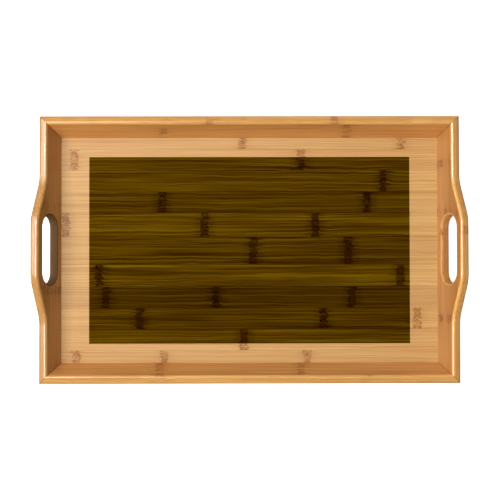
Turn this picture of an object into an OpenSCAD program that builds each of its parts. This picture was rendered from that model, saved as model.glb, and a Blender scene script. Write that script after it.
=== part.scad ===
// Serving tray in laminated bamboo: four outward-leaning walls, mitred at the corners,
// around a base panel that is glued up from strips and carries a printed film.
// The origin is on the table, under the middle of the tray. The length runs along X.
// Every wall leans outward: its board is drawn flat first and then stood up at its lean.

/* [Base panel] */
// Length of the floor between the two end walls
floor_length = 393; // [300:1:480]
// Width of the floor between the two long walls
floor_width = 235; // [228:1:300]
// Height of the floor above the table
floor_height = 9; // [7:0.5:14]
// Thickness of the glued panel
panel_thickness = 5; // [3:0.5:6]
// How far the panel reaches into the grooves of the walls
panel_tongue = 3.5; // [2:0.25:4]
// Width of the rearmost strip that stays in sight
rear_strip = 12; // [6:0.5:16]
// Widths of the nine strips after it, counted from the rear; the front strip takes the rest
strip_widths = [22, 22.5, 22, 25, 29, 23, 22.5, 22, 22]; // [15:0.5:30]

/* [Walls] */
// Thickness of the wall boards
board = 10; // [8:0.5:12]
// Outward lean of the walls, in degrees from upright
lean = 28; // [15:1:32]
// Height of the inner face above the floor, measured up the slope
wall_face = 28; // [24:0.5:40]
// Radius that is rounded over the rim
rim_radius = 3; // [1:0.25:4]

/* [Handles] */
// Height of the inner face at the handles, measured up the slope
handle_face = 44; // [42:0.5:60]
// Distance from the middle of the tray to the middle of each ramp of the rim
ramp_middle = 52; // [50:0.5:62]
// Steepness of the ramps, in degrees
ramp_angle = 22; // [18:1:30]
// Radius of the bends above and below each ramp
bend_radius = 40; // [20:1:44]
// Length of the hand slots
slot_length = 71; // [60:1:90]
// Distance from the floor up the slope to the lower edge of a hand slot
slot_bottom = 8; // [6:0.5:10]
// Height of the hand slots, measured up the slope
slot_height = 25.5; // [18:0.5:26]
// Radius that is rounded over the edges of the hand slots
slot_radius = 2.2; // [0.5:0.1:3]

/* [Printed film] */
// Length of the printed area
print_length = 335; // [200:1:380]
// Width of the printed area
print_width = 195; // [120:1:220]
// Thickness of the film
film_thickness = 0.2; // [0.1:0.05:0.5]

/* [Corner joints] */
// Length of the loose tongue in each mitre
tongue_length = 12.5; // [6:0.5:14]
// Width of the tongue across the mitre
tongue_width = 8; // [4:0.5:8]
// Thickness of the tongue
tongue_thickness = 2.5; // [1.5:0.25:3]
// Diameter of the brads
brad_diameter = 1.2; // [0.8:0.1:1.6]
// Length of the brads
brad_length = 25; // [15:1:35]
// Height of the lower brad in each corner
lower_brad = 11; // [10.5:0.5:12]
// Height of the upper brad in each corner
upper_brad = 28.5; // [27:0.5:29]
// How deep the brads are sunk
brad_sink = 0.8; // [0.3:0.1:2]

/* [Hidden] */
STRIP_NAMES = [for (i = [1 : 11]) str("base_strip_", i < 10 ? "0" : "", i)];
TONGUE_NAMES = ["tongue_rear_right", "tongue_rear_left", "tongue_front_left", "tongue_front_right"];
$fn = 64;

bamboo = [0.85, 0.67, 0.43];
pale_bamboo = [0.88, 0.72, 0.50];
olive = [0.30, 0.22, 0.03];
steel = [0.70, 0.71, 0.72];

// Cutters run this far past the faces that they cut
past = 1;
// Steps in the bends of the rim, in the half-round ends of the slots and over a rounded edge
bend_steps = 6;
slot_steps = 14;
round_steps = 4;
// Free room at the bottom of the grooves
groove_slack = 0.5;

half_length = floor_length / 2;
half_width = floor_width / 2;
panel_bottom = floor_height - panel_thickness;

// The boards run this far below the floor, measured down the slope, before the table cuts them
below_floor = (floor_height + board * sin(lean)) / cos(lean) + past;
// Level thickness of a leaning board
level_board = board / cos(lean);
// Height that clears every wall
tray_height = floor_height + (handle_face + past) * cos(lean);
// Length that clears both ends of the tray
span = floor_length + 2 * (handle_face + board);

// Ramp of the rim: where its line meets the low rim and the raised rim
rise = handle_face - wall_face;
ramp_run = rise / tan(ramp_angle);
ramp_foot = ramp_middle + ramp_run / 2;
ramp_top = ramp_middle - ramp_run / 2;
// Distance from those meeting points to where the bends start
bend_reach = bend_radius * tan(ramp_angle / 2);

slot_end = slot_height / 2;
slot_middle = slot_bottom + slot_end;
slot_straight = slot_length - slot_height;

// Slope of the line where two mitred boards meet
mitre_lean = atan(sqrt(2) * tan(lean));

function sum_of(list, count) = count == 0 ? 0 : list[count - 1] + sum_of(list, count - 1);
function strip_rear(i) = i == 0 ? half_width + panel_tongue
    : i == 11 ? -half_width - panel_tongue
    : half_width - rear_strip - sum_of(strip_widths, i - 1);

// Level distance from the middle of the floor edge to the middle of a wall at a given height
function wall_middle(height) = (height - floor_height) * tan(lean) + level_board / 2;

// Quarter round over an edge, as [depth below the edge, distance in from the face]
function quarter_round(radius) = [
    for (k = [0 : round_steps])
        let (turn = 90 * k / round_steps)
            [radius * (1 - sin(turn)), radius * (1 - cos(turn))]
];

// Point of a board at a depth below its edge. Each station along the edge is
// [along, up, slope], and the board lies below the edge where the slope is 0
function below_edge(s, depth, across) = [
    s[0] - depth * sin(s[2]),
    s[1] - depth * cos(s[2]),
    across
];

// Section of an end wall below a station of its rim, from the inner foot round the outside
function end_section(s) = let (arc = quarter_round(rim_radius)) [
    [s[0], -below_floor, 0],
    [s[0], -below_floor, board],
    for (p = arc)
        below_edge(s, p[0], board - p[1]),
    for (k = [round_steps : -1 : 0])
        below_edge(s, arc[k][0], arc[k][1])
];

// Section of the waste that rounding over takes from an edge on the face at Z = 0
function waste_section(s, radius) = [
    below_edge(s, -past, -past),
    below_edge(s, radius, -past),
    for (p = quarter_round(radius))
        below_edge(s, p[0], p[1]),
    below_edge(s, -past, radius)
];

// Solid through a row of sections that all have as many points
module loft(sections, closed = false) {
    sides = len(sections[0]);
    last = len(sections) - 1;
    skin = [
        for (i = [0 : closed ? last : last - 1])
            for (j = [0 : sides - 1])
                let (
                    next = (i + 1) % (last + 1) * sides,
                    side = (j + 1) % sides
                )
                    [i * sides + j, next + j, next + side, i * sides + side]
    ];
    caps = closed ? [] : [
        [for (j = [0 : sides - 1]) j],
        [for (j = [sides - 1 : -1 : 0]) last * sides + j]
    ];
    polyhedron([for (section = sections) each section], concat(skin, caps));
}

// Lays a wall of the right-hand end, drawn as (along Y, up the face, across), at its lean
module stand_end_wall() {
    translate([half_length, 0, floor_height])
        rotate([0, lean, 0])
            rotate([90, 0, 90])
                children();
}

// Plan of the wedge that the mitres leave to a wall whose floor edge is at distance along X
module mitre_wedge(distance, other) {
    translate([distance - other, 0])
        polygon([[0, 0], [span, -span], [span, span]]);
}

// Stations along the rim, from its low end at +X to the middle: low rim, bend, ramp, bend
half_rim = [
    [span / 2, wall_face, 0],
    for (k = [0 : bend_steps])
        let (slope = ramp_angle * k / bend_steps)
            [
                ramp_foot + bend_reach - bend_radius * sin(slope),
                wall_face + bend_radius * (1 - cos(slope)),
                slope
            ],
    for (k = [0 : bend_steps])
        let (slope = ramp_angle * (1 - k / bend_steps))
            [
                ramp_top - bend_reach + bend_radius * sin(slope),
                handle_face - bend_radius * (1 - cos(slope)),
                slope
            ]
];
end_rim = concat(
    half_rim,
    [for (k = [len(half_rim) - 1 : -1 : 0]) [-half_rim[k][0], half_rim[k][1], -half_rim[k][2]]]
);

// Stations round the hand slot, clockwise from the top of its +X end
slot_edge = [
    for (side = [1, -1])
        for (k = [0 : slot_steps])
            let (turn = 180 * k / slot_steps)
                [
                    side * (slot_straight / 2 + slot_end * sin(turn)),
                    slot_middle + side * slot_end * cos(turn),
                    side * 90 + turn + 90
                ]
];

// The hand slot with its rounded edges
module slot_cutter() {
    translate([0, slot_middle, -past])
        linear_extrude(board + 2 * past) {
            square([slot_straight, slot_height], center = true);
            for (side = [-1, 1])
                translate([side * slot_straight / 2, 0])
                    circle(slot_end);
        }
    for (face = [0, 1])
        translate([0, 0, face * board])
            mirror([0, 0, face])
                loft([for (s = slot_edge) waste_section(s, slot_radius)], closed = true);
}

// Groove for the base panel, cut through all the walls in one go
module groove() {
    slack = panel_tongue + groove_slack;
    translate([-half_length - slack, -half_width - slack, panel_bottom])
        cube([floor_length + 2 * slack, floor_width + 2 * slack, panel_thickness]);
}

// The loose tongue in the mitre of the corner at +X, +Y, midway between the brads
module tongue() {
    height = (lower_brad + upper_brad) / 2;
    reach = wall_middle(height);
    translate([half_length + reach, half_width + reach, height])
        rotate([0, 0, 45])
            rotate([0, mitre_lean, 0])
                cube([tongue_thickness, tongue_width, tongue_length], center = true);
}

// Moves a part of the corner at +X, +Y to corner i, counted from there to the left and round
module at_corner(i) {
    mirror([i == 1 || i == 2 ? 1 : 0, 0, 0])
        mirror([0, i > 1 ? 1 : 0, 0])
            children();
}

// The two brads of the corner at +X, +Y, or with extra length the holes for them
module brads(extra) {
    for (height = [lower_brad, upper_brad]) {
        middle = wall_middle(height);
        outer_face = half_width + middle + level_board / 2;
        translate([half_length + middle, outer_face - brad_sink + extra, height])
            rotate([90, 0, 0])
                cylinder(d = brad_diameter, h = brad_length + extra);
    }
}

module corner_cuts() {
    for (i = [0 : 3])
        at_corner(i) {
            tongue();
            brads(brad_sink + past);
        }
}

// Section of a long wall, upright, with its inner face at X = 0
module long_wall_profile() {
    translate([0, -below_floor])
        square([board, below_floor + wall_face - rim_radius]);
    translate([rim_radius, 0])
        square([board - 2 * rim_radius, wall_face]);
    for (across = [rim_radius, board - rim_radius])
        translate([across, wall_face - rim_radius])
            circle(rim_radius);
}

module long_wall() {
    difference() {
        intersection() {
            translate([-span / 2, half_width, floor_height])
                rotate([-lean, 0, 0])
                    rotate([90, 0, 90])
                        linear_extrude(span)
                            long_wall_profile();
            rotate(90)
                linear_extrude(tray_height)
                    mitre_wedge(half_width, half_length);
        }
        groove();
        corner_cuts();
    }
}

module end_wall() {
    difference() {
        intersection() {
            stand_end_wall()
                difference() {
                    loft([for (s = end_rim) end_section(s)]);
                    slot_cutter();
                }
            linear_extrude(tray_height)
                mitre_wedge(half_length, half_width);
        }
        groove();
        corner_cuts();
    }
}

module rear_wall() {
    color(bamboo)
        long_wall();
}

module front_wall() {
    color(bamboo)
        mirror([0, 1, 0])
            long_wall();
}

module right_end_wall() {
    color(bamboo)
        end_wall();
}

module left_end_wall() {
    color(bamboo)
        mirror([1, 0, 0])
            end_wall();
}

// Strip i of the base panel, counted from the rear
module base_strip(i) {
    color(i % 2 == 0 ? pale_bamboo : bamboo)
        translate([-half_length - panel_tongue, strip_rear(i + 1), panel_bottom])
            cube([
                floor_length + 2 * panel_tongue,
                strip_rear(i) - strip_rear(i + 1),
                panel_thickness
            ]);
}

module print_film() {
    color(olive)
        translate([-print_length / 2, -print_width / 2, floor_height])
            cube([print_length, print_width, film_thickness]);
}

module corner_tongue(i) {
    color(pale_bamboo)
        at_corner(i)
            tongue();
}

module corner_brads() {
    color(steel)
        for (i = [0 : 3])
            at_corner(i)
                brads(0);
}

rear_wall();
front_wall();
right_end_wall();
left_end_wall();
for (i = [0 : len(STRIP_NAMES) - 1])
    base_strip(i);
print_film();
for (i = [0 : len(TONGUE_NAMES) - 1])
    corner_tongue(i);
corner_brads();
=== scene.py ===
import math

import bmesh
import bpy
from mathutils import Matrix, Vector


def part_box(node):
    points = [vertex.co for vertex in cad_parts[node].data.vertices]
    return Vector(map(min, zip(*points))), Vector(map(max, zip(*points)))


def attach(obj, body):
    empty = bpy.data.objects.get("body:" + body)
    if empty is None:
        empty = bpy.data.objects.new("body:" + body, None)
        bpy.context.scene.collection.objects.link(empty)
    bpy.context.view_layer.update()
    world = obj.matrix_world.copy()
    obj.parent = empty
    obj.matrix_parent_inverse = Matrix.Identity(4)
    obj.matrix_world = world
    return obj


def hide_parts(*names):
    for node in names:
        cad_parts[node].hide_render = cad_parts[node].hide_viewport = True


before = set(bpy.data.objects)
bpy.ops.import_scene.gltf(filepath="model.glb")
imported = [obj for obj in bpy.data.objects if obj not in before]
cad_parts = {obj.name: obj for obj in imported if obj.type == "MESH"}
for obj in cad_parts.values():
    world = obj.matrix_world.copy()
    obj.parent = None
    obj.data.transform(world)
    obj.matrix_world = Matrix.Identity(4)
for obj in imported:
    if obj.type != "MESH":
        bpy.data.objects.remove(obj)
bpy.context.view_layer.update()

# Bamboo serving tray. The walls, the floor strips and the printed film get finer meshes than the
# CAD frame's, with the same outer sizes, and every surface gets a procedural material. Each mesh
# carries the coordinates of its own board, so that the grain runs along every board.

MM = 0.001

# ---------------------------------------------------------------- sizes shared with the CAD

LEAN = math.radians(28)
BOARD = 10 * MM
WALL_FACE = 28 * MM
RIM_RADIUS = 3 * MM

HANDLE_FACE = 44 * MM
RAMP_MIDDLE = 52 * MM
RAMP_ANGLE = math.radians(22)
BEND_RADIUS = 40 * MM
SLOT_LENGTH = 71 * MM
SLOT_BOTTOM = 8 * MM
SLOT_HEIGHT = 25.5 * MM
SLOT_RADIUS = 2.2 * MM

PANEL_TONGUE = 3.5 * MM
GROOVE_DEPTH = 4 * MM

STRIP_NAMES = sorted(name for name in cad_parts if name.startswith("base_strip_"))
STRIP_BOXES = [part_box(name) for name in STRIP_NAMES]
FILM_LOW, FILM_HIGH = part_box("print_film")
FLOOR = FILM_LOW.z
PANEL_BOTTOM = STRIP_BOXES[0][0].z
HALF_LENGTH = STRIP_BOXES[0][1].x - PANEL_TONGUE
HALF_WIDTH = STRIP_BOXES[0][1].y - PANEL_TONGUE

# ---------------------------------------------------------------- sizes of the finer meshes

ROUND_STEPS = 8
BEND_STEPS = 16
SLOT_STEPS = 40
# The glue line in each mitre is this wide, and the joints of the floor have this fine a groove
MITRE_GAP = 0.02 * MM
JOINT_GROOVE = 0.06 * MM

# Where the knuckles of the bamboo fall along each board, in mm from its middle
STRIP_KNUCKLES = [
    [-7, 159],
    [-183, 54],
    [140],
    [-91, 123],
    [-192, -47, 69],
    [4, 103],
    [-157, 158],
    [-150, -35, 107],
    [-115, 77, 175],
    [-6],
    [-181, -89, 60],
]
# A knuckle here is past the end of an end wall's board, so that none shows
OUT_OF_SIGHT = 160
# Where they fall along each wall: on its faces, and on its rim and the edges of its slot
WALL_KNUCKLES = {
    "right": ([-72, 38, 90], [19]),
    "rear": ([-101, 90], [-88, 42, 163]),
    "left": ([-45, 42], [OUT_OF_SIGHT]),
    "front": ([-94, 53], [-93, 120]),
}
# Brightness of each strip of the floor, and of the print over it, set against the photo
STRIP_TONES = [0.99, 0.99, 1.06, 1.01, 1.05, 1.0, 1.06, 0.91, 1.02, 0.98, 0.98]
FILM_TONES = [1.0, 0.98, 1.0, 0.92, 1.2, 0.9, 1.2, 0.6, 0.78, 1.04, 1.0]
# Brightness of each wall's faces, of its rim and of its slot, set the same way. Much of it is
# painted light and shade: the rear and front walls are lightened and the right wall darkened,
# the right rim lightened and the left rim darkened, and the left wall's slot is darkened as a
# painted shadow under its handle bar.
WALL_TONES_AND_PAINTED_LIGHT = {
    "right": (0.87, 1.22, 1.1),
    "rear": (1.2, 1.1, 1.0),
    "left": (0.94, 0.81, 0.33),
    "front": (1.14, 1.06, 1.0),
}
# Red, green and blue of the rims and of the slots against those of the faces, which are browner
# The rims' lift over the faces is partly painted light, brightening them past what the lamps give
RIM_TONE_AND_PAINTED_LIGHT = (1.25, 1.40, 1.40)
SLOT_TONE = (1.1, 1.15, 1.15)
# How far along the noise the grain of each wall starts, in metres, so that no two are alike
WALL_STARTS = {"right": 11.3, "rear": 12.9, "left": 14.1, "front": 15.7}
# How much further along it starts on a wall's rim, and on each strip of the floor than on the last
RIM_START = 3
STRIP_START = 0.7
# Distance in metres at which neither a knuckle nor a joint shows
FAR = 1.0

# The sRGB curve: straight up to the toe, and a power above it
SRGB_TOE = 0.04045
SRGB_SLOPE = 12.92
SRGB_OFFSET = 0.055
SRGB_POWER = 2.4


def srgb(red, green, blue):
    """A colour given as three numbers from 0 to 255, as linear values for a shader."""
    linear = []
    for value in (red / 255, green / 255, blue / 255):
        if value <= SRGB_TOE:
            linear.append(value / SRGB_SLOPE)
        else:
            linear.append(((value + SRGB_OFFSET) / (1 + SRGB_OFFSET)) ** SRGB_POWER)
    return (*linear, 1.0)


# ---------------------------------------------------------------- material nodes

class Nodes:
    """Short ways to add nodes to a material's tree."""

    def __init__(self, name):
        self.material = bpy.data.materials.new(name)
        self.material.use_nodes = True
        self.tree = self.material.node_tree
        self.shader = self.tree.nodes["Principled BSDF"]

    def add(self, kind, **settings):
        node = self.tree.nodes.new(kind)
        for key, value in settings.items():
            setattr(node, key, value)
        return node

    def put(self, socket, value):
        if isinstance(value, bpy.types.NodeSocket):
            self.tree.links.new(value, socket)
        else:
            socket.default_value = value

    def math(self, operation, first, second=0.0, third=0.0, clamp=False):
        node = self.add("ShaderNodeMath", operation=operation, use_clamp=clamp)
        for socket, value in zip(node.inputs, (first, second, third)):
            self.put(socket, value)
        return node.outputs[0]

    def attribute(self, name, output="Fac"):
        return self.add("ShaderNodeAttribute", attribute_name=name).outputs[output]

    def scaled(self, vector, factors):
        node = self.add("ShaderNodeVectorMath", operation="MULTIPLY")
        self.put(node.inputs[0], vector)
        self.put(node.inputs[1], factors)
        return node.outputs[0]

    def noise(self, vector, detail=2.0, roughness=0.5, distortion=0.0):
        node = self.add("ShaderNodeTexNoise")
        self.put(node.inputs["Vector"], vector)
        node.inputs["Scale"].default_value = 1.0
        node.inputs["Detail"].default_value = detail
        node.inputs["Roughness"].default_value = roughness
        node.inputs["Distortion"].default_value = distortion
        return node.outputs["Fac"]

    def ramp(self, factor, stops, ease="LINEAR"):
        node = self.add("ShaderNodeValToRGB")
        node.color_ramp.interpolation = ease
        elements = node.color_ramp.elements
        while len(elements) < len(stops):
            elements.new(0.5)
        for element, (place, colour) in zip(elements, stops):
            element.position = place
            element.color = colour
        self.put(node.inputs[0], factor)
        return node.outputs[0]

    def span(self, value, low, high, to_low=0.0, to_high=1.0):
        node = self.add("ShaderNodeMapRange", interpolation_type="SMOOTHSTEP")
        for socket, number in zip(node.inputs, (value, low, high, to_low, to_high)):
            self.put(socket, number)
        return node.outputs[0]

    def mix(self, factor, first, second, blend="MIX"):
        node = self.add("ShaderNodeMix", data_type="RGBA", blend_type=blend)
        self.put(node.inputs["Factor"], factor)
        self.put(node.inputs[6], first)
        self.put(node.inputs[7], second)
        return node.outputs[2]

    def bump(self, height, distance, strength=1.0):
        node = self.add("ShaderNodeBump")
        node.inputs["Distance"].default_value = distance
        node.inputs["Strength"].default_value = strength
        self.put(node.inputs["Height"], height)
        self.put(self.shader.inputs["Normal"], node.outputs[0])

    def finish(self, **sockets):
        for name, value in sockets.items():
            self.put(self.shader.inputs[name.replace("_", " ")], value)
        return self.material


# Scales of the bamboo's noise along and across the grain, per metre
SWAY = (36, 70, 70)
FINE_FIBRES = (10, 1300, 1300)
STREAKS = (5, 620, 620)
BROAD_BANDS = (4, 120, 120)
THREADS = (9, 700, 700)
RAGGED_EDGE = (90, 380, 380)
PATCHES = (25, 110, 110)
# Shares of fine fibres, streaks and broad bands in the grain, and how far its contrast is raised
FINE_SHARE = 0.42
STREAK_SHARE = 0.42
BROAD_SHARE = 0.16
GRAIN_CONTRAST = 4.0
# Scales of the dashes in a knuckle, per metre: away from it, their slant, across and along
DASH_AWAY = 260.0
DASH_SLANT = 620.0
DASH_ACROSS = 1150.0
DASH_ALONG = 90.0
# Distances from the middle of a knuckle: its full and faded band, its shade, and the sway
BAND_FULL = 3.0 * MM
BAND_FADED = 5.5 * MM
SHADE_REACH = 15 * MM
SWAY_REACH = 16 * MM
# How far fibres wander, and how much further beside a knuckle
WANDER = 2.5 * MM
MORE_WANDER = 7 * MM
BUMP_DEPTH = 0.06 * MM
# Roughness that the bare edges of the hand slots have above the lacquer's
BARE_ROUGHNESS = 0.45


def bamboo(name, dark, middle, light, mark, contrast=1.0, own_grain=True, **gloss):
    """Lacquered bamboo from three tones of fibre and the colour of its knuckles and joints."""
    n = Nodes(name)
    if own_grain:
        grain = n.attribute("grain", "Vector")
    else:
        grain = n.add("ShaderNodeTexCoord").outputs["Object"]
    knuckle = n.attribute("knuckle") if own_grain else FAR
    joint = n.attribute("joint") if own_grain else FAR
    bare = n.attribute("bare") if own_grain else 0.0

    # Fibres wander a little, and more beside a knuckle
    away = n.math("ABSOLUTE", knuckle)
    near = n.span(away, 0.0, SWAY_REACH, 1.0, 0.0)
    sway = n.math("SUBTRACT", n.noise(n.scaled(grain, SWAY), detail=1), 0.5)
    reach = n.math("MULTIPLY_ADD", near, MORE_WANDER, WANDER)
    shift = n.add("ShaderNodeCombineXYZ")
    n.put(shift.inputs["Y"], n.math("MULTIPLY", sway, reach))
    bent = n.add("ShaderNodeVectorMath", operation="ADD")
    n.put(bent.inputs[0], grain)
    n.put(bent.inputs[1], shift.outputs[0])
    bent = bent.outputs[0]

    fine = n.noise(n.scaled(bent, FINE_FIBRES), detail=2, roughness=0.6)
    streak = n.noise(n.scaled(bent, STREAKS), detail=2, roughness=0.5)
    broad = n.noise(n.scaled(bent, BROAD_BANDS), detail=1)
    fibre = n.math("MULTIPLY", broad, BROAD_SHARE)
    fibre = n.math("MULTIPLY_ADD", streak, STREAK_SHARE, fibre)
    fibre = n.math("MULTIPLY_ADD", fine, FINE_SHARE, fibre)
    fibre = n.math("MULTIPLY_ADD", n.math("SUBTRACT", fibre, 0.5), GRAIN_CONTRAST * contrast, 0.5,
                   clamp=True)
    colour = n.ramp(fibre, [(0.0, dark), (0.5, middle), (1.0, light)])

    # Long thin dark threads, as vessels between the fibres
    thread = n.noise(n.scaled(bent, THREADS), detail=2, roughness=0.7)
    thread = n.span(thread, 0.60, 0.74)

    # A knuckle is a ragged dark band of small slanting dashes, with dark fibres on both sides
    jitter = n.math("SUBTRACT", n.noise(n.scaled(grain, RAGGED_EDGE), detail=3), 0.5)
    ragged = n.math("ABSOLUTE", n.math("MULTIPLY_ADD", jitter, 9 * MM, knuckle))
    band = n.span(ragged, BAND_FULL, BAND_FADED, 1.0, 0.0)
    shade = n.span(ragged, BAND_FULL, SHADE_REACH, 1.0, 0.0)
    shade = n.math("MULTIPLY", shade, n.math("SUBTRACT", 1.2, fibre, clamp=True))
    parts = n.add("ShaderNodeSeparateXYZ")
    n.put(parts.inputs[0], bent)
    slanted = n.add("ShaderNodeCombineXYZ")
    n.put(slanted.inputs["X"], n.math("MULTIPLY", away, DASH_AWAY))
    across = n.math("MULTIPLY", parts.outputs["Y"], DASH_ACROSS)
    n.put(slanted.inputs["Y"], n.math("MULTIPLY_ADD", away, DASH_SLANT, across))
    deep = n.math("MULTIPLY", parts.outputs["Z"], DASH_ACROSS)
    n.put(slanted.inputs["Z"], n.math("MULTIPLY_ADD", parts.outputs["X"], DASH_ALONG, deep))
    dashes = n.span(n.noise(slanted.outputs[0], detail=2, roughness=0.6), 0.40, 0.58)
    filled = gloss.pop("knuckle_fill", 0.35)
    band = n.math("MULTIPLY", band, n.math("MULTIPLY_ADD", dashes, 1 - filled, filled))
    # In a board of narrow lamellas the knuckle shows on some of them only
    patches = gloss.pop("knuckle_patches", 0.0)
    patch = n.span(n.noise(n.scaled(grain, PATCHES)), 0.42, 0.56, 1 - patches, 1.0)
    band = n.math("MULTIPLY", band, patch)
    shade = n.math("MULTIPLY", shade, patch)

    line = n.span(joint, 0.1 * MM, 0.7 * MM, 1.0, 0.0)
    marks = n.math("MAXIMUM", n.math("MULTIPLY", band, gloss.pop("knuckle_depth", 0.7)),
                   n.math("MULTIPLY", line, gloss.pop("line_depth", 0.45)))
    marks = n.math("MAXIMUM", marks, n.math("MULTIPLY", shade, gloss.pop("shade_depth", 0.22)))
    marks = n.math("MAXIMUM", marks, n.math("MULTIPLY", thread, gloss.pop("thread_depth", 0.3)))
    colour = n.mix(marks, colour, mark)
    if own_grain:
        # The tone is each strip's or board's own brightness, and on the walls partly painted light
        # and shade
        tone = n.attribute("tone", "Color")
        colour = n.mix(1.0, colour, tone, blend="MULTIPLY")

    # The edges of the hand slots are taken to be bare bamboo, with no gloss, which is a guess
    rough = n.math("MULTIPLY_ADD", fine, 0.16, gloss.pop("rough", 0.36))
    rough = n.math("MULTIPLY_ADD", bare, BARE_ROUGHNESS, rough)
    if "Coat_Weight" in gloss:
        gloss["Coat_Weight"] = n.span(bare, 0.0, 1.0, gloss["Coat_Weight"], 0.0)
    height = n.math("MULTIPLY_ADD", marks, -0.25, fibre)
    n.bump(height, BUMP_DEPTH, 0.5)
    return n.finish(Base_Color=colour, Roughness=rough, **gloss)


def steel():
    n = Nodes("brad_steel")
    place = n.add("ShaderNodeTexCoord").outputs["Object"]
    drawn = n.noise(n.scaled(place, (3000, 300, 3000)), detail=3)
    n.bump(drawn, 0.02 * MM, 0.4)
    return n.finish(
        Base_Color=n.ramp(drawn, [(0.3, srgb(150, 150, 152)), (0.7, srgb(196, 197, 200))]),
        Roughness=n.math("MULTIPLY_ADD", drawn, 0.25, 0.2),
        Metallic=1.0,
    )


WALL_BAMBOO = bamboo(
    "wall_bamboo",
    srgb(188, 120, 56), srgb(207, 141, 74), srgb(222, 162, 94), srgb(128, 62, 12),
    contrast=0.8, knuckle_patches=0.85, rough=0.30, Coat_Weight=0.8, Coat_Roughness=0.16,
    knuckle_depth=0.7, shade_depth=0.22, thread_depth=0.25, line_depth=0.5,
)
FLOOR_BAMBOO = bamboo(
    "floor_bamboo",
    srgb(196, 138, 70), srgb(215, 163, 97), srgb(227, 182, 116), srgb(154, 88, 16),
    contrast=0.7, rough=0.36, Specular_IOR_Level=0.3,
    knuckle_depth=0.92, knuckle_fill=0.25, shade_depth=0.2, thread_depth=0.3, line_depth=0.25,
)
PRINT_FILM = bamboo(
    "print_film",
    srgb(58, 32, 0), srgb(85, 56, 1), srgb(108, 82, 3), srgb(36, 5, 2),
    contrast=1.2, knuckle_fill=0.5, rough=0.42, Specular_IOR_Level=0.0,
    knuckle_depth=0.95, shade_depth=0.55, thread_depth=0.6, line_depth=0.5,
)
TONGUE_BAMBOO = bamboo(
    "tongue_bamboo",
    srgb(208, 152, 88), srgb(222, 172, 108), srgb(234, 190, 128), srgb(136, 82, 40),
    own_grain=False, rough=0.55,
)
BRAD_STEEL = steel()


# ---------------------------------------------------------------- meshes

def quarter_round(radius):
    """Quarter round over an edge, as (depth below the edge, distance in from the face)."""
    turns = [math.pi / 2 * k / ROUND_STEPS for k in range(ROUND_STEPS + 1)]
    return [(radius * (1 - math.sin(t)), radius * (1 - math.cos(t))) for t in turns]


def edge_section(radius):
    """The rounded edge of a board from its inner face to its outer face, in the same terms."""
    inner = quarter_round(radius)
    return inner + [(depth, BOARD - across) for depth, across in reversed(inner)]


def below_edge(station, depth, across):
    """Point of a board at a depth below its edge, at a station (along, up, slope)."""
    along, up, slope = station
    return Vector((along - depth * math.sin(slope), up - depth * math.cos(slope), across))


def tilted(out, up):
    """(up the face, across the board) of a point that lies out and up from the floor's edge."""
    return (
        out * math.sin(LEAN) + up * math.cos(LEAN),
        out * math.cos(LEAN) - up * math.sin(LEAN),
    )


def mitre_end(other_half, up, across, side):
    """Point of a board in the plane of its mitre."""
    reach = other_half + up * math.sin(LEAN) + across * math.cos(LEAN) - MITRE_GAP
    return Vector((side * reach, up, across))


def handle_rim():
    """Stations of an end wall's rim between its mitres: low rim, bend, ramp, bend, handle."""
    run = (HANDLE_FACE - WALL_FACE) / math.tan(RAMP_ANGLE)
    foot, top = RAMP_MIDDLE + run / 2, RAMP_MIDDLE - run / 2
    reach = BEND_RADIUS * math.tan(RAMP_ANGLE / 2)
    half = []
    for k in range(BEND_STEPS + 1):
        slope = RAMP_ANGLE * k / BEND_STEPS
        half.append((foot + reach - BEND_RADIUS * math.sin(slope),
                     WALL_FACE + BEND_RADIUS * (1 - math.cos(slope)), slope))
    for k in range(BEND_STEPS + 1):
        slope = RAMP_ANGLE * (1 - k / BEND_STEPS)
        half.append((top - reach + BEND_RADIUS * math.sin(slope),
                     HANDLE_FACE - BEND_RADIUS * (1 - math.cos(slope)), slope))
    return half + [(-along, up, -slope) for along, up, slope in reversed(half)]


def slot_rim():
    """Stations round a hand slot."""
    end, middle = SLOT_HEIGHT / 2, SLOT_BOTTOM + SLOT_HEIGHT / 2
    straight = SLOT_LENGTH / 2 - end
    stations = []
    for side in (1, -1):
        for k in range(SLOT_STEPS + 1):
            turn = math.pi * k / SLOT_STEPS
            stations.append((side * (straight + end * math.sin(turn)),
                             middle + side * end * math.cos(turn),
                             side * math.pi / 2 + turn + math.pi / 2))
    return stations


def add_strip(mesh, sections, closed, smooth=True, layer=None):
    """Faces between neighbouring rows of vertices, with 1 in a layer of their corners if one is
    given; returns the rows' first and last edges."""
    count = len(sections)
    for i in range(count if closed else count - 1):
        here, there = sections[i], sections[(i + 1) % count]
        for j in range(len(here) - 1):
            face = mesh.faces.new((here[j], here[j + 1], there[j + 1], there[j]))
            face.smooth = smooth
            if layer:
                for loop in face.loops:
                    loop[layer] = 1.0
    ring = range(count if closed else count - 1)
    first = [mesh.edges.get((sections[i][0], sections[(i + 1) % count][0])) for i in ring]
    last = [mesh.edges.get((sections[i][-1], sections[(i + 1) % count][-1])) for i in ring]
    return first, last


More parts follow.
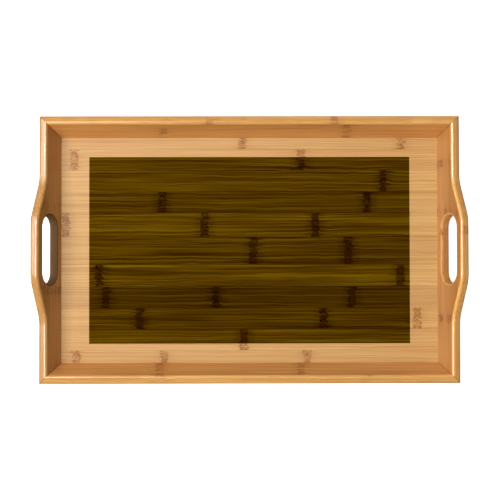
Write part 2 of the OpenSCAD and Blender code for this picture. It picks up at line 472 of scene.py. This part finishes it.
def wall_mesh(other_half, rim, slot):
    """A wall drawn flat, as (along, up its face, across the board), in a bmesh."""
    mesh = bmesh.new()
    bare = mesh.loops.layers.float.new("bare")

    def vertices(points):
        return [mesh.verts.new(point) for point in points]

    section = edge_section(RIM_RADIUS)
    ends = {
        side: vertices(mitre_end(other_half, WALL_FACE - depth, across, side)
                       for depth, across in section)
        for side in (1, -1)
    }
    rows = [ends[1]]
    rows += [vertices(below_edge(s, depth, across) for depth, across in section) for s in rim]
    rows.append(ends[-1])
    inner_edges, outer_edges = add_strip(mesh, rows, closed=False)

    # The groove for the panel and the foot, from the floor's edge round to the outer face
    drop = PANEL_BOTTOM - FLOOR
    lower = [
        tilted(0, 0),
        tilted(GROOVE_DEPTH, 0),
        tilted(GROOVE_DEPTH, drop),
        (drop / math.cos(LEAN), 0),
        (-FLOOR / math.cos(LEAN), 0),
        ((BOARD * math.sin(LEAN) - FLOOR) / math.cos(LEAN), BOARD),
    ]
    feet = {
        side: vertices(mitre_end(other_half, up, across, side) for up, across in lower)
        for side in (1, -1)
    }
    foot_inner, foot_outer = add_strip(mesh, [feet[1], feet[-1]], closed=False, smooth=False)
    for side in (1, -1):
        mesh.faces.new(ends[side] + list(reversed(feet[side])))
        inner_edges.append(mesh.edges.get((ends[side][0], feet[side][0])))
        outer_edges.append(mesh.edges.get((ends[side][-1], feet[side][-1])))
    inner_edges += foot_inner
    outer_edges += foot_outer

    if slot:
        section = edge_section(SLOT_RADIUS)
        rows = [vertices(below_edge(s, depth, across) for depth, across in section) for s in slot]
        first, last = add_strip(mesh, rows, closed=True, layer=bare)
        inner_edges += first
        outer_edges += last
    for edges in (inner_edges, outer_edges):
        bmesh.ops.triangle_fill(mesh, use_beauty=True, use_dissolve=False, edges=edges)
    return mesh


def knuckle_cuts(knuckles):
    """Places half-way between neighbouring knuckles."""
    return [(a + b) / 2 for a, b in zip(knuckles, knuckles[1:])]


def data_layers(mesh):
    """Layers for what the bamboo materials read: grain, tone, knuckle and joint."""
    layers = mesh.loops.layers
    vectors = [layers.float_vector.new(name) for name in ("grain", "tone")]
    return vectors + [layers.float.new(name) for name in ("knuckle", "joint")]


def board_data(mesh, knuckles, face_tone_and_light, rim_tone_and_light, slot_tone_and_shade, seed, from_joint):
    """Stores what the bamboo materials read at each face corner of a board drawn flat."""
    grain, tones, knuckle, joint = data_layers(mesh)
    bare = mesh.loops.layers.float["bare"]
    for face in mesh.faces:
        middle = face.calc_center_median().x
        rounded = face.smooth
        # A wall's faces, rim and slot each get their own tone, much of it painted light and shade
        if face.loops[0][bare]:
            tone = Vector(SLOT_TONE) * slot_tone_and_shade
        elif rounded:
            tone = Vector(RIM_TONE_AND_PAINTED_LIGHT) * rim_tone_and_light
        else:
            tone = Vector((1, 1, 1)) * face_tone_and_light
        nearest = min(knuckles[rounded], key=lambda place: abs(place - middle))
        for loop in face.loops:
            place = loop.vert.co
            loop[grain] = place + Vector((seed + RIM_START * rounded, 0, 0))
            loop[knuckle] = place.x - nearest
            loop[tones] = tone
            loop[joint] = from_joint(place)


def make_piece(name, mesh, material, node):
    """Turns a bmesh into a piece that stands for a CAD node."""
    bmesh.ops.recalc_face_normals(mesh, faces=mesh.faces)
    # The renderer rounds the shading of a smooth face into its flat neighbours unless told not to
    for edge in mesh.edges:
        edge.smooth = all(face.smooth for face in edge.link_faces)
    data = bpy.data.meshes.new(name)
    mesh.to_mesh(data)
    mesh.free()
    data.materials.append(material)
    piece = bpy.data.objects.new(name, data)
    bpy.context.scene.collection.objects.link(piece)
    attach(piece, "root")
    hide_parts(node)
    return piece


def wall(name, node, turn, distance, other_half, rim, slot, knuckles, tones, seed):
    """One wall, stood up at its lean at a distance from the middle, turned to its side."""
    mesh = wall_mesh(other_half, rim, slot)
    knuckles = [[place * MM for place in places] for places in knuckles]
    for place in [0.0] + knuckle_cuts(knuckles[0]) + knuckle_cuts(knuckles[1]):
        geometry = list(mesh.verts) + list(mesh.edges) + list(mesh.faces)
        bmesh.ops.bisect_plane(mesh, geom=geometry, plane_co=(place, 0, 0), plane_no=(1, 0, 0))

    def from_mitre(place):
        reach = other_half + place.y * math.sin(LEAN) + place.z * math.cos(LEAN)
        return (reach - abs(place.x)) / math.sqrt(2)

    board_data(mesh, knuckles, *tones, seed, from_mitre)
    lean_sin, lean_cos = math.sin(LEAN), math.cos(LEAN)
    stand = Matrix((
        (0, lean_sin, lean_cos, distance),
        (1, 0, 0, 0),
        (0, lean_cos, -lean_sin, FLOOR),
        (0, 0, 0, 1),
    ))
    bmesh.ops.transform(mesh, matrix=Matrix.Rotation(turn, 4, "Z") @ stand, verts=mesh.verts)
    return make_piece(name, mesh, WALL_BAMBOO, node)


def strip_tone(brightness):
    """Red, green and blue of a strip: a darker one is also a little redder."""
    return Vector((brightness ** 0.8, brightness, brightness))


def panel_sheet(name, strips, low, high, material, slot_name, node, strip_tones=STRIP_TONES):
    """A sheet over some of the floor's strips, with a fine groove at each of their joints."""
    mesh = bmesh.new()
    grain, tones, knuckle, joint = data_layers(mesh)

    columns = {low.x, high.x}
    rows = []
    for i in strips:
        places = [place * MM for place in STRIP_KNUCKLES[i]]
        columns.update(x for x in knuckle_cuts(places) if low.x < x < high.x)
        front = max(STRIP_BOXES[i][0].y, low.y)
        rear = min(STRIP_BOXES[i][1].y, high.y)
        middle = (STRIP_BOXES[i][0].y + STRIP_BOXES[i][1].y) / 2
        rows.append((i, rear, high.z - JOINT_GROOVE))
        rows.append((i, rear - JOINT_GROOVE, high.z))
        if front + JOINT_GROOVE < middle < rear - JOINT_GROOVE:
            rows.append((i, middle, high.z))
        rows.append((i, front + JOINT_GROOVE, high.z))
    rows.append((strips[-1], front, high.z - JOINT_GROOVE))
    columns = sorted(columns)

    grid = [[mesh.verts.new((x, y, z)) for x in columns] for _, y, z in rows]
    for r, (i, _, _) in enumerate(rows[:-1]):
        front, rear = STRIP_BOXES[i][0].y, STRIP_BOXES[i][1].y
        places = [place * MM for place in STRIP_KNUCKLES[i]]
        for c in range(len(columns) - 1):
            face = mesh.faces.new((grid[r][c], grid[r + 1][c], grid[r + 1][c + 1], grid[r][c + 1]))
            middle = (columns[c] + columns[c + 1]) / 2
            nearest = min(places, key=lambda place: abs(place - middle))
            for loop in face.loops:
                place = loop.vert.co
                loop[grain] = place + Vector((STRIP_START * i, 0, 0))
                loop[knuckle] = place.x - nearest
                loop[tones] = strip_tone(strip_tones[i])
                loop[joint] = min(rear - place.y, place.y - front)
    # Sides and underside
    outline = grid[0] + [row[-1] for row in grid[1:]] + grid[-1][-2::-1]
    outline += [row[0] for row in grid[-2:0:-1]]
    below = [mesh.verts.new((v.co.x, v.co.y, low.z)) for v in outline]
    count = len(outline)
    sides = [
        mesh.faces.new((outline[k], outline[(k + 1) % count], below[(k + 1) % count], below[k]))
        for k in range(count)
    ]
    sides.append(mesh.faces.new(below))
    for face in sides:
        for loop in face.loops:
            loop[grain] = loop.vert.co
            loop[knuckle] = FAR
            loop[tones] = strip_tone(strip_tones[strips[0]])
            loop[joint] = FAR
    return make_piece(name, mesh, material, node)


# ---------------------------------------------------------------- the tray

HANDLE_RIM = handle_rim()
SLOT_RIM = slot_rim()
QUARTER = math.pi / 2
for quarter, side in enumerate(WALL_KNUCKLES):
    is_end = side in ("right", "left")
    stem = side + "_end" if is_end else side
    distance, other_half = (HALF_LENGTH, HALF_WIDTH) if is_end else (HALF_WIDTH, HALF_LENGTH)
    rim, slot = (HANDLE_RIM, SLOT_RIM) if is_end else ([], None)
    wall(stem + "_board", stem + "_wall", quarter * QUARTER, distance, other_half, rim, slot,
         WALL_KNUCKLES[side], WALL_TONES_AND_PAINTED_LIGHT[side], WALL_STARTS[side])

for i, node in enumerate(STRIP_NAMES):
    panel_sheet(node.replace("base", "floor"), [i], *STRIP_BOXES[i], FLOOR_BAMBOO,
                "floor_bamboo", node)

film_strips = [
    i for i, (low, high) in enumerate(STRIP_BOXES) if high.y > FILM_LOW.y and low.y < FILM_HIGH.y
]
panel_sheet("printed_sheet", film_strips, FILM_LOW, FILM_HIGH, PRINT_FILM, "print_film",
            "print_film", FILM_TONES)

# The tongues and brads keep their CAD meshes and only get a material
for name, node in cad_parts.items():
    finish = {"tongue": TONGUE_BAMBOO, "corner": BRAD_STEEL}.get(name.split("_")[0])
    if finish:
        node.data.materials.clear()
        node.data.materials.append(finish)


# ---------------------------------------------------------------- studio

# The studio floor lies a little below the tray's feet, so that the two never share a plane
FLOOR_HALF = 6.0
FLOOR_DROP = 0.2 * MM
FLOOR_GLOW = 0.95
WORLD_LIGHT = 0.08

# The photo's camera: height above its target in metres, target in metres, and degrees of tip,
# tilt and roll off straight down; lens and sensor are in mm
CAMERA_HEIGHT = 1.8
CAMERA_TARGET = Vector((0.5 * MM, 0.1 * MM, FLOOR))
CAMERA_ANGLES = (-1.85, 0.5, -0.09)
CAMERA_LENS = 123.95
CAMERA_SENSOR = 36


def studio_floor():
    """A pale floor that shows white from above and lights the tray only with what falls on it.

    From below it is clear, so that the underside can be seen."""
    mesh = bpy.data.meshes.new("studio_floor")
    turns = ((-1, -1), (1, -1), (1, 1), (-1, 1))
    corners = [(x * FLOOR_HALF, y * FLOOR_HALF, -FLOOR_DROP) for x, y in turns]
    mesh.from_pydata(corners, [], [(0, 1, 2, 3)])
    n = Nodes("studio_floor")
    glow = n.math("MULTIPLY", n.add("ShaderNodeLightPath").outputs["Is Camera Ray"], FLOOR_GLOW)
    n.finish(Base_Color=srgb(225, 225, 225), Roughness=0.9,
             Emission_Color=(1, 1, 1, 1), Emission_Strength=glow,
             Alpha=n.math("SUBTRACT", 1.0, n.add("ShaderNodeNewGeometry").outputs["Backfacing"]))
    mesh.materials.append(n.material)
    floor = bpy.data.objects.new("studio_floor", mesh)
    bpy.context.scene.collection.objects.link(floor)
    floor.visible_glossy = False


def softbox(name, place, width, height, power, diffuse=True, gloss=True):
    """A rectangular light that faces the tray, for matt shading, for highlights or for both."""
    light = bpy.data.lights.new(name, "AREA")
    light.shape = "RECTANGLE"
    light.size, light.size_y = width, height
    light.energy = power
    lamp = bpy.data.objects.new(name, light)
    lamp.location = place
    lamp.rotation_euler = Vector(place).to_track_quat("Z", "Y").to_euler()
    lamp.visible_diffuse, lamp.visible_glossy = diffuse, gloss
    bpy.context.scene.collection.objects.link(lamp)


def photo_camera():
    """Looks straight down, a touch off square, from high above the middle of the floor."""
    tip, tilt, roll = (math.radians(angle) for angle in CAMERA_ANGLES)
    turn = Matrix.Rotation(-tip, 3, "X") @ Matrix.Rotation(-tilt, 3, "Y")
    camera = bpy.data.cameras.new("camera")
    camera.sensor_width = CAMERA_SENSOR
    camera.lens = CAMERA_LENS
    camera.clip_start = 0.1
    holder = bpy.data.objects.new("camera", camera)
    holder.location = CAMERA_TARGET + turn @ Vector((0, 0, CAMERA_HEIGHT))
    holder.rotation_euler = (turn @ Matrix.Rotation(roll, 3, "Z")).to_euler()
    bpy.context.scene.collection.objects.link(holder)
    bpy.context.scene.camera = holder


studio_floor()
# Places in metres, width and height in metres, power in watts
softbox("key", (-2.0, 0.0, 2.56), 1.25, 1.25, 66)
softbox("overhead", (0.0, 0.0, 2.4), 1.0, 1.0, 14, gloss=False)
softbox("low_strip", (-2.0, 0.5, 0.98), 1.2, 0.3, 9, diffuse=False)
softbox("edge_box", (-1.6, 0.3, 2.05), 1.2, 0.5, 22, diffuse=False)
softbox("sheen_box", (-0.65, 0.5, 1.95), 0.35, 0.8, 19, diffuse=False)
softbox("rear_box", (-0.7, 1.5, 1.5), 0.8, 0.3, 6, gloss=False)
softbox("front_box", (-0.7, -1.5, 1.5), 0.8, 0.3, 6.5, gloss=False)
photo_camera()

world = bpy.data.worlds.new("studio")
world.use_nodes = True
backdrop = world.node_tree.nodes["Background"]
backdrop.inputs["Color"].default_value = (1, 1, 1, 1)
# The world shows white behind the tray, but hardly lights it
seen = world.node_tree.nodes.new("ShaderNodeLightPath").outputs["Is Camera Ray"]
strength = world.node_tree.nodes.new("ShaderNodeMapRange")
world.node_tree.links.new(seen, strength.inputs["Value"])
strength.inputs["To Min"].default_value = WORLD_LIGHT
strength.inputs["To Max"].default_value = 1.0
world.node_tree.links.new(strength.outputs[0], backdrop.inputs["Strength"])
bpy.context.scene.world = world
bpy.context.scene.view_settings.view_transform = "Standard"
